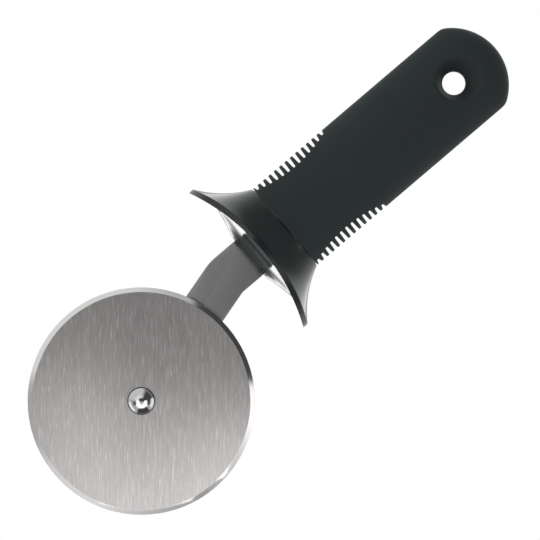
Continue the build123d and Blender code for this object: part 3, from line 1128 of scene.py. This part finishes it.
# How bright the ring round the camera is, at shares of a turn from the picture's left by way
# of its foot
RING_STOPS = (
    (0.00, 0.34),
    (0.06, 0.36),
    (0.10, 0.58),
    (0.18, 0.66),
    (0.26, 0.42),
    (0.33, 0.28),
    (0.42, 0.64),
    (0.46, 1.00),
    (0.53, 1.00),
    (0.70, 0.40),
    (0.77, 0.60),
    (0.965, 0.62),
    (0.985, 0.38),
    (1.00, 0.34),
)
RING_GAIN = 1.3
CAMERA_SIDE, BESIDE, WALL = 0.06, 0.42, 1.0
# Where the ring starts, where it ends and where the wall starts, off the axis
RING_STARTS, RING_ENDS, WALL_STARTS = (13, 20), (34, 52), (78, 106)
# Each card's brightness, its middle on the clock, half its width, where it starts and ends
# off the axis, and how soft its sides and its two ends are
CARDS = (
    (0.20, HANDLE_UP, 42, 30, 110, 46, 20),
    (0.60, 125, 48, 36, 80, 20, 10),
    (0.06, 35, 28, 10, 64, 4, 5),
    (0.06, -10, 20, 33, 50, 4, 5),
    (0.90, -10, 24, 56, 74, 10, 8),
    (0.05, -80, 31, 45, 74, 4, 5),
    (0.95, -150, 26, 62, 77, 12, 6),
    (0.12, -160, 16, 33, 50, 4, 5),
)
# What gloss mirrors behind the object, which is brighter along the handle's line than
# across it and has a card of its own beyond the handle's lower end
REAR_STARTS, REAR_TURNS = (110, 155), (42, 70)
REAR_ALONG, REAR_ACROSS = 1.8, 0.9
REAR_CARD = (2.8, HANDLE_DOWN, 60, 120, 200, 30, 20)
# The card that darkens the neck, and the dim place straight behind the object
NECK_CARD = (0.3, HANDLE_DOWN, 33, 84, 140, 9, 14)
BEHIND, BEHIND_STARTS = 0.4, (154, 166)


def stage_pieces(sizes):
    """The camera, the white room and four soft lamps, which light the wheel's face. The
    photographed cutter has no floor and no shadow, so there is no floor here."""
    scene = bpy.context.scene
    lean = sizes.tilt
    right = Vector((math.sin(lean), 0, math.cos(lean)))
    up = Vector((-math.cos(lean), 0, math.sin(lean)))
    back = Vector((0, -1, 0))
    centre = Vector((sizes.centre_x, 0, sizes.centre_z))
    turn = Matrix((right, up, back)).transposed().to_4x4()
    lens = bpy.data.cameras.new("picture_camera")
    lens.sensor_width = SENSOR_WIDTH
    lens.lens = SENSOR_WIDTH * sizes.distance / sizes.frame_width
    lens.clip_end = CLIP_END
    camera = bpy.data.objects.new("picture_camera", lens)
    camera.matrix_world = Matrix.Translation(centre + back * sizes.distance) @ turn
    scene.collection.objects.link(camera)
    scene.camera = camera
    scene.view_settings.view_transform = "Standard"
    for name, (across, above, toward), width, height, power in LAMPS:
        light = bpy.data.lights.new(name, "AREA")
        light.shape = "RECTANGLE"
        light.size, light.size_y = width, height
        light.energy = power
        lamp = bpy.data.objects.new(name, light)
        place = centre + right * across + up * above + back * toward
        lamp.matrix_world = Matrix.Translation(place) @ turn
        lamp.visible_camera = False
        scene.collection.objects.link(lamp)
    world = bpy.data.worlds.new("white_room")
    scene.world = world
    world.use_nodes = True
    room_light(world.node_tree, lean)


def room_light(tree, lean):
    """White for the camera. The object is lit by, and mirrors, a room that is dark round the
    camera, then a ring whose brightness changes round the clock, then a dimmer stretch and
    a white wall. Dark and bright cards cover parts of them. Gloss mirrors a rear that is
    brightest along the handle. A dark card beyond the neck and a dim place straight behind
    the object cover the rest."""
    tree.nodes.clear()
    place = node(tree, "TexCoord").outputs["Generated"]
    turned_to = node(tree, "Mapping", Vector=place, Rotation=(0, math.pi / 2 - lean, 0))
    parts = node(tree, "SeparateXYZ", Vector=turned_to.outputs[0])
    across, depth, above = parts.outputs

    def angle_window(source, low, high, start=0.0, end=1.0):
        """A smooth step from low to high, in degrees."""
        return node(
            tree,
            "MapRange",
            interpolation_type="SMOOTHSTEP",
            Value=source,
            From_Min=math.radians(low),
            From_Max=math.radians(high),
            To_Min=start,
            To_Max=end,
        ).outputs[0]

    def blend(mask, first, second):
        """A brightness that goes by a mask from a first one to a second."""
        return mix(tree, "FLOAT", mask, first, second)

    clock = math_node(tree, "DIVIDE", math_node(tree, "ARCTAN2", above, across), 2 * math.pi)
    round_axis = math_node(tree, "MULTIPLY", clock, 2 * math.pi)
    off_axis = math_node(tree, "ARCCOSINE", math_node(tree, "MULTIPLY", depth, -1.0))

    def with_card(level, bright, middle, wide, near_edge, far_edge, side_soft, end_soft):
        """A card laid over a brightness: it covers a sector round the axis, near its middle
        on the clock and between its two ends off the axis."""
        aside = math_node(tree, "SUBTRACT", round_axis, math.radians(middle))
        aside = math_node(tree, "ABSOLUTE", aside)
        side, end = side_soft / 2, end_soft / 2
        sides = angle_window(aside, wide - side, wide + side, 1, 0)
        start = angle_window(off_axis, near_edge - end, near_edge + end)
        stop = angle_window(off_axis, far_edge - end, far_edge + end, 1, 0)
        mask = math_node(tree, "MULTIPLY", math_node(tree, "MULTIPLY", sides, start), stop)
        return blend(mask, level, bright)

    ring = node(tree, "ValToRGB", Fac=math_node(tree, "ADD", clock, 0.5))
    stops = ring.color_ramp.elements
    while len(stops) < len(RING_STOPS):
        stops.new(0.5)
    for stop, (position, level) in zip(stops, RING_STOPS):
        stop.position = position
        stop.color = (level, level, level, 1)
    bright = math_node(tree, "MULTIPLY", ring.outputs[0], RING_GAIN)
    near = blend(angle_window(off_axis, *RING_STARTS), CAMERA_SIDE, bright)
    far = blend(angle_window(off_axis, *WALL_STARTS), BESIDE, WALL)
    level = blend(angle_window(off_axis, *RING_ENDS), near, far)
    for card in CARDS:
        level = with_card(level, *card)
    path = node(tree, "LightPath").outputs
    rearward = angle_window(off_axis, *REAR_STARTS)
    mirrored = math_node(tree, "MULTIPLY", rearward, path["Is Glossy Ray"])
    off_line = math_node(tree, "SUBTRACT", round_axis, math.radians(HANDLE_UP))
    off_line = math_node(tree, "ABSOLUTE", math_node(tree, "SINE", off_line))
    off_line = math_node(tree, "ARCSINE", off_line)
    rear = angle_window(off_line, *REAR_TURNS, REAR_ALONG, REAR_ACROSS)
    level = blend(mirrored, level, with_card(rear, *REAR_CARD))
    level = with_card(level, *NECK_CARD)
    level = blend(angle_window(off_axis, *BEHIND_STARTS), level, BEHIND)
    seen = math_node(tree, "MAXIMUM", path["Is Camera Ray"], path["Is Transmission Ray"])
    light = node(tree, "Background", Color=(1, 1, 1, 1), Strength=blend(seen, level, 1.0))
    node(tree, "OutputWorld", Surface=light.outputs[0])


# Operators


class CUTTER_OT_grip(bpy.types.Operator):
    """Makes the soft grip with its fins and hang hole"""

    bl_idname = "cutter.grip"
    bl_label = "Make the grip"

    def execute(self, context):
        sizes = context.scene.cutter_grip
        piece = shade(grip_piece(sizes), degrees=60)
        rubber = moulding(
            "grip_rubber",
            sizes.rubber,
            grain=2600.0,
            unevenness=70.0,
            roughness=(0.55, 0.62),
            spread=0.04,
            bump=0.12,
            Specular_IOR_Level=0.10,
        )
        finish_piece(piece, "handle", rubber, ["grip"])
        return {"FINISHED"}


class CUTTER_OT_guard(bpy.types.Operator):
    """Makes the glossy guard with its arched rim, bell and neck"""

    bl_idname = "cutter.guard"
    bl_label = "Make the guard"

    def execute(self, context):
        sizes = context.scene.cutter_guard
        piece = shade(guard_piece(sizes), degrees=32)
        gloss = moulding(
            "guard_gloss",
            sizes.gloss,
            grain=900.0,
            unevenness=40.0,
            roughness=(0.16, 0.21),
            spread=0.04,
            bump=0.02,
            Specular_IOR_Level=0.5,
            Coat_Weight=0.4,
            Coat_Roughness=0.08,
        )
        finish_piece(piece, "handle", gloss, ["guard"])
        return {"FINISHED"}


class CUTTER_OT_wheel(bpy.types.Operator):
    """Makes the brushed wheel and the bush that turns with it"""

    bl_idname = "cutter.wheel"
    bl_label = "Make the wheel"

    def execute(self, context):
        sizes = context.scene.cutter_steel
        blade = shade(blade_piece(sizes), degrees=8)
        brushed = steel(
            "brushed_blade",
            sizes.face,
            turn=-context.scene.cutter_stage.tilt,
            roughness=(0.30, 0.46),
            contrast=0.30,
            bump=0.40,
            scratches=0.68,
        )
        ground_bevel(brushed, sizes)
        finish_piece(blade, "wheel", brushed, ["wheel_blade"])
        bore = BUSH_HIGH.x - AXLE[0] - BUSH_WALL
        bush = ring_piece("bearing_bush", bore, BUSH_LOW, BUSH_HIGH, sizes.arris)
        shade(bush, degrees=30)
        finish_piece(bush, "wheel", bearing_plastic(), ["wheel_bush"])
        return {"FINISHED"}


class CUTTER_OT_axle(bpy.types.Operator):
    """Makes the polished rivet and the three washers on it"""

    bl_idname = "cutter.axle"
    bl_label = "Make the rivet and washers"

    def execute(self, context):
        sizes = context.scene.cutter_steel
        rivet = shade(rivet_piece(sizes), degrees=30)
        chrome = steel(
            "rivet_chrome",
            sizes.polish,
            turn=0.0,
            roughness=(0.05, 0.09),
            contrast=0.02,
            bump=0.02,
        )
        finish_piece(rivet, "handle", chrome, ["axle_rivet"])
        bore = sizes.washer_bore / 2
        front = ("front_washer_ring", bore, FRONT_LOW, FRONT_HIGH)
        spacer = ("spacer_ring", bore, SPACER_LOW, SPACER_HIGH)
        rear = ("rear_ring", bore, REAR_LOW, REAR_HIGH)
        for shape, slot_name, finish, packed in (
            (front, "bearing_plastic", bearing_plastic, "front_washer"),
            (spacer, "bearing_plastic", bearing_plastic, "spacer_washer"),
            (rear, "hardware_steel", plain_steel, "rear_washer"),
        ):
            washer = shade(ring_piece(*shape, sizes.arris), degrees=30)
            finish_piece(washer, "handle", finish(), [packed])
        return {"FINISHED"}


class CUTTER_OT_arm(bpy.types.Operator):
    """Makes the satin arm"""

    bl_idname = "cutter.arm"
    bl_label = "Make the arm"

    def execute(self, context):
        sizes = context.scene.cutter_steel
        piece = arm_piece(sizes)
        satin = steel(
            "satin_arm",
            sizes.satin,
            turn=-context.scene.cutter_stage.tilt,
            roughness=(0.34, 0.46),
            contrast=0.06,
            bump=0.15,
            fineness=1.3,
            scratches=0.2,
        )
        finish_piece(piece, "handle", satin, ["arm"])
        return {"FINISHED"}


class CUTTER_OT_hidden(bpy.types.Operator):
    """Gives the hard core and the cross pins their materials"""

    bl_idname = "cutter.hidden"
    bl_label = "Finish the core and pins"

    def execute(self, context):
        core_plastic = moulding(
            "core_plastic",
            CORE_BLACK,
            grain=1800.0,
            unevenness=60.0,
            roughness=(0.4, 0.5),
            spread=0.05,
            bump=0.1,
        )
        for name, finish, slot_name in (
            ("handle_core", core_plastic, "core_plastic"),
            ("tang_pins", plain_steel(), "hardware_steel"),
        ):
            part = frame["nodes"][name]
            part.data.materials.clear()
            part.data.materials.append(finish)
        return {"FINISHED"}


class CUTTER_OT_stage(bpy.types.Operator):
    """Makes the camera, the white room and the lamps"""

    bl_idname = "cutter.stage"
    bl_label = "Make the stage"

    def execute(self, context):
        stage_pieces(context.scene.cutter_stage)
        return {"FINISHED"}


class CUTTER_PT_panel(bpy.types.Panel):
    """The cutter's sizes and makers"""

    bl_idname = "CUTTER_PT_panel"
    bl_label = "Pizza cutter"
    bl_space_type = "VIEW_3D"
    bl_region_type = "UI"
    bl_category = "Cutter"

    def draw(self, context):
        layout = self.layout
        for maker in MAKERS:
            layout.operator(maker.bl_idname)
        for name, kind in GROUPS:
            box = layout.box()
            box.label(text=kind.__name__)
            for key in kind.__annotations__:
                box.prop(getattr(context.scene, name), key)


MAKERS = (
    CUTTER_OT_grip,
    CUTTER_OT_guard,
    CUTTER_OT_wheel,
    CUTTER_OT_axle,
    CUTTER_OT_arm,
    CUTTER_OT_hidden,
    CUTTER_OT_stage,
)


def register():
    """Adds the sizes to the scene, then the operators and the panel."""
    for name, kind in GROUPS:
        bpy.utils.register_class(kind)
        setattr(bpy.types.Scene, name, bpy.props.PointerProperty(type=kind))
    for kind in (*MAKERS, CUTTER_PT_panel):
        bpy.utils.register_class(kind)


def unregister():
    """Takes away what register adds, last first."""
    for kind in reversed((*MAKERS, CUTTER_PT_panel)):
        bpy.utils.unregister_class(kind)
    for name, kind in reversed(GROUPS):
        delattr(bpy.types.Scene, name)
        bpy.utils.unregister_class(kind)


def main():
    """Registers everything and makes each piece in order."""
    register()
    bpy.ops.cutter.grip()
    bpy.ops.cutter.guard()
    bpy.ops.cutter.wheel()
    bpy.ops.cutter.axle()
    bpy.ops.cutter.arm()
    bpy.ops.cutter.hidden()
    bpy.ops.cutter.stage()


if __name__ == "__main__":
    main()
